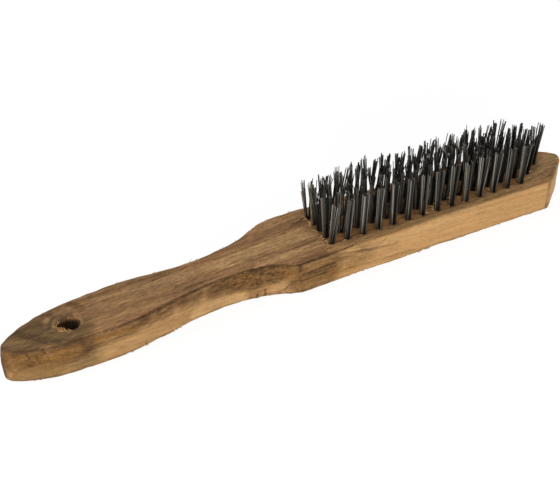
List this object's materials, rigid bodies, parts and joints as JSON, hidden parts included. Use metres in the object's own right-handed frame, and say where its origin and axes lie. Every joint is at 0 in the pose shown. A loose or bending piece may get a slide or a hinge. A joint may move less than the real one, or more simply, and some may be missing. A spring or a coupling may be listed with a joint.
{
  "type": "wire scratch brush",
  "caption": "Hand wire scratch brush: a sawn hardwood block with a waisted handle, a hang hole and a pointed nose, its head set with rows of steel wire tufts for scrubbing off rust and paint.",
  "frame": {"origin": "on the flat back, on the head's centre line, where the handle meets the head", "axes": "+X along the head towards the nose, +Z out of the bristle face, +Y to the left as the bristles face up and the nose points ahead"},
  "size_m": [0.2888, 0.0395, 0.037],
  "materials": {
    "handle_wood": "raw sawn hardwood",
    "bristle_wire": "drawn carbon steel wire, dull",
    "anchor_wire": "flattened steel wire"
  },
  "bodies": {
    "root": {"handle_block": "handle_wood", "tuft_column_01": "bristle_wire", "tuft_column_02": "bristle_wire", "tuft_column_03": "bristle_wire", "tuft_column_04": "bristle_wire", "tuft_column_05": "bristle_wire", "tuft_column_06": "bristle_wire", "tuft_column_07": "bristle_wire", "tuft_column_08": "bristle_wire", "tuft_column_09": "bristle_wire", "tuft_column_10": "bristle_wire", "tuft_column_11": "bristle_wire", "tuft_column_12": "bristle_wire", "tuft_column_13": "bristle_wire", "tuft_column_14": "bristle_wire", "tuft_column_15": "bristle_wire", "tuft_column_16": "bristle_wire", "anchor_column_01": "anchor_wire", "anchor_column_02": "anchor_wire", "anchor_column_03": "anchor_wire", "anchor_column_04": "anchor_wire", "anchor_column_05": "anchor_wire", "anchor_column_06": "anchor_wire", "anchor_column_07": "anchor_wire", "anchor_column_08": "anchor_wire", "anchor_column_09": "anchor_wire", "anchor_column_10": "anchor_wire", "anchor_column_11": "anchor_wire", "anchor_column_12": "anchor_wire", "anchor_column_13": "anchor_wire", "anchor_column_14": "anchor_wire", "anchor_column_15": "anchor_wire", "anchor_column_16": "anchor_wire"}
  },
  "joints": []
}
